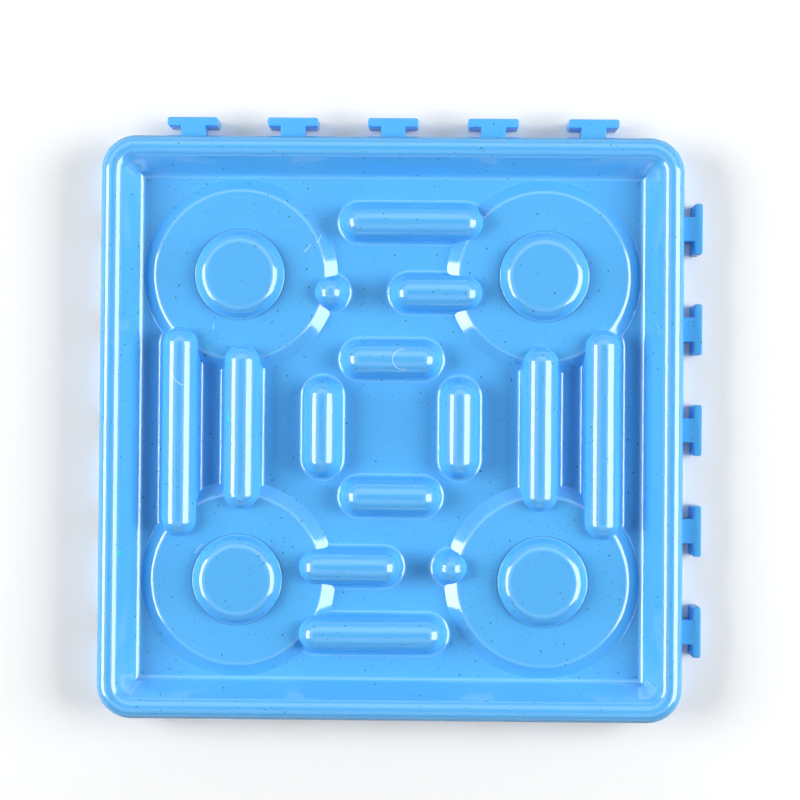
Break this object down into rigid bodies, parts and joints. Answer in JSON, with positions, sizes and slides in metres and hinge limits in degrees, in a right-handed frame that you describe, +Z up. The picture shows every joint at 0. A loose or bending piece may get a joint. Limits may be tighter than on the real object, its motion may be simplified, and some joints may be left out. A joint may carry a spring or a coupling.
{
  "type": "dog lick mat",
  "caption": "Square dog lick mat: a shallow tray with a rounded rim, low discs with buttons, licking bars and domes, and T tabs on two sides that hook under the rim of the next mat.",
  "frame": {"origin": "middle of the square tray, on the table that the skirt stands on", "axes": "+Z up, +Y towards the back side with tabs, +X towards the right side with tabs"},
  "size_m": [0.2068, 0.2068, 0.014],
  "materials": {
    "mat_plastic": "glossy sky blue with fine dark specks"
  },
  "bodies": {
    "root": {"tray_floor": "mat_plastic", "rim_left": "mat_plastic", "rim_right": "mat_plastic", "rim_back": "mat_plastic", "rim_front": "mat_plastic", "skirt_left": "mat_plastic", "skirt_right": "mat_plastic", "skirt_back": "mat_plastic", "skirt_front": "mat_plastic", "corner_back_left": "mat_plastic", "corner_back_right": "mat_plastic", "corner_front_left": "mat_plastic", "corner_front_right": "mat_plastic", "disc_back_left": "mat_plastic", "disc_back_right": "mat_plastic", "disc_front_left": "mat_plastic", "disc_front_right": "mat_plastic", "button_back_left": "mat_plastic", "button_back_right": "mat_plastic", "button_front_left": "mat_plastic", "button_front_right": "mat_plastic", "bar_back_long": "mat_plastic", "bar_back_short": "mat_plastic", "bar_front_long": "mat_plastic", "bar_front_short": "mat_plastic", "bar_centre_back": "mat_plastic", "bar_centre_front": "mat_plastic", "bar_centre_left": "mat_plastic", "bar_centre_right": "mat_plastic", "bar_medium_left": "mat_plastic", "bar_medium_right": "mat_plastic", "bar_long_left": "mat_plastic", "bar_long_right": "mat_plastic", "dome_back": "mat_plastic", "dome_front": "mat_plastic", "tab_back_1": "mat_plastic", "tab_back_2": "mat_plastic", "tab_back_3": "mat_plastic", "tab_back_4": "mat_plastic", "tab_back_5": "mat_plastic", "tab_right_1": "mat_plastic", "tab_right_2": "mat_plastic", "tab_right_3": "mat_plastic", "tab_right_4": "mat_plastic", "tab_right_5": "mat_plastic"}
  },
  "joints": []
}
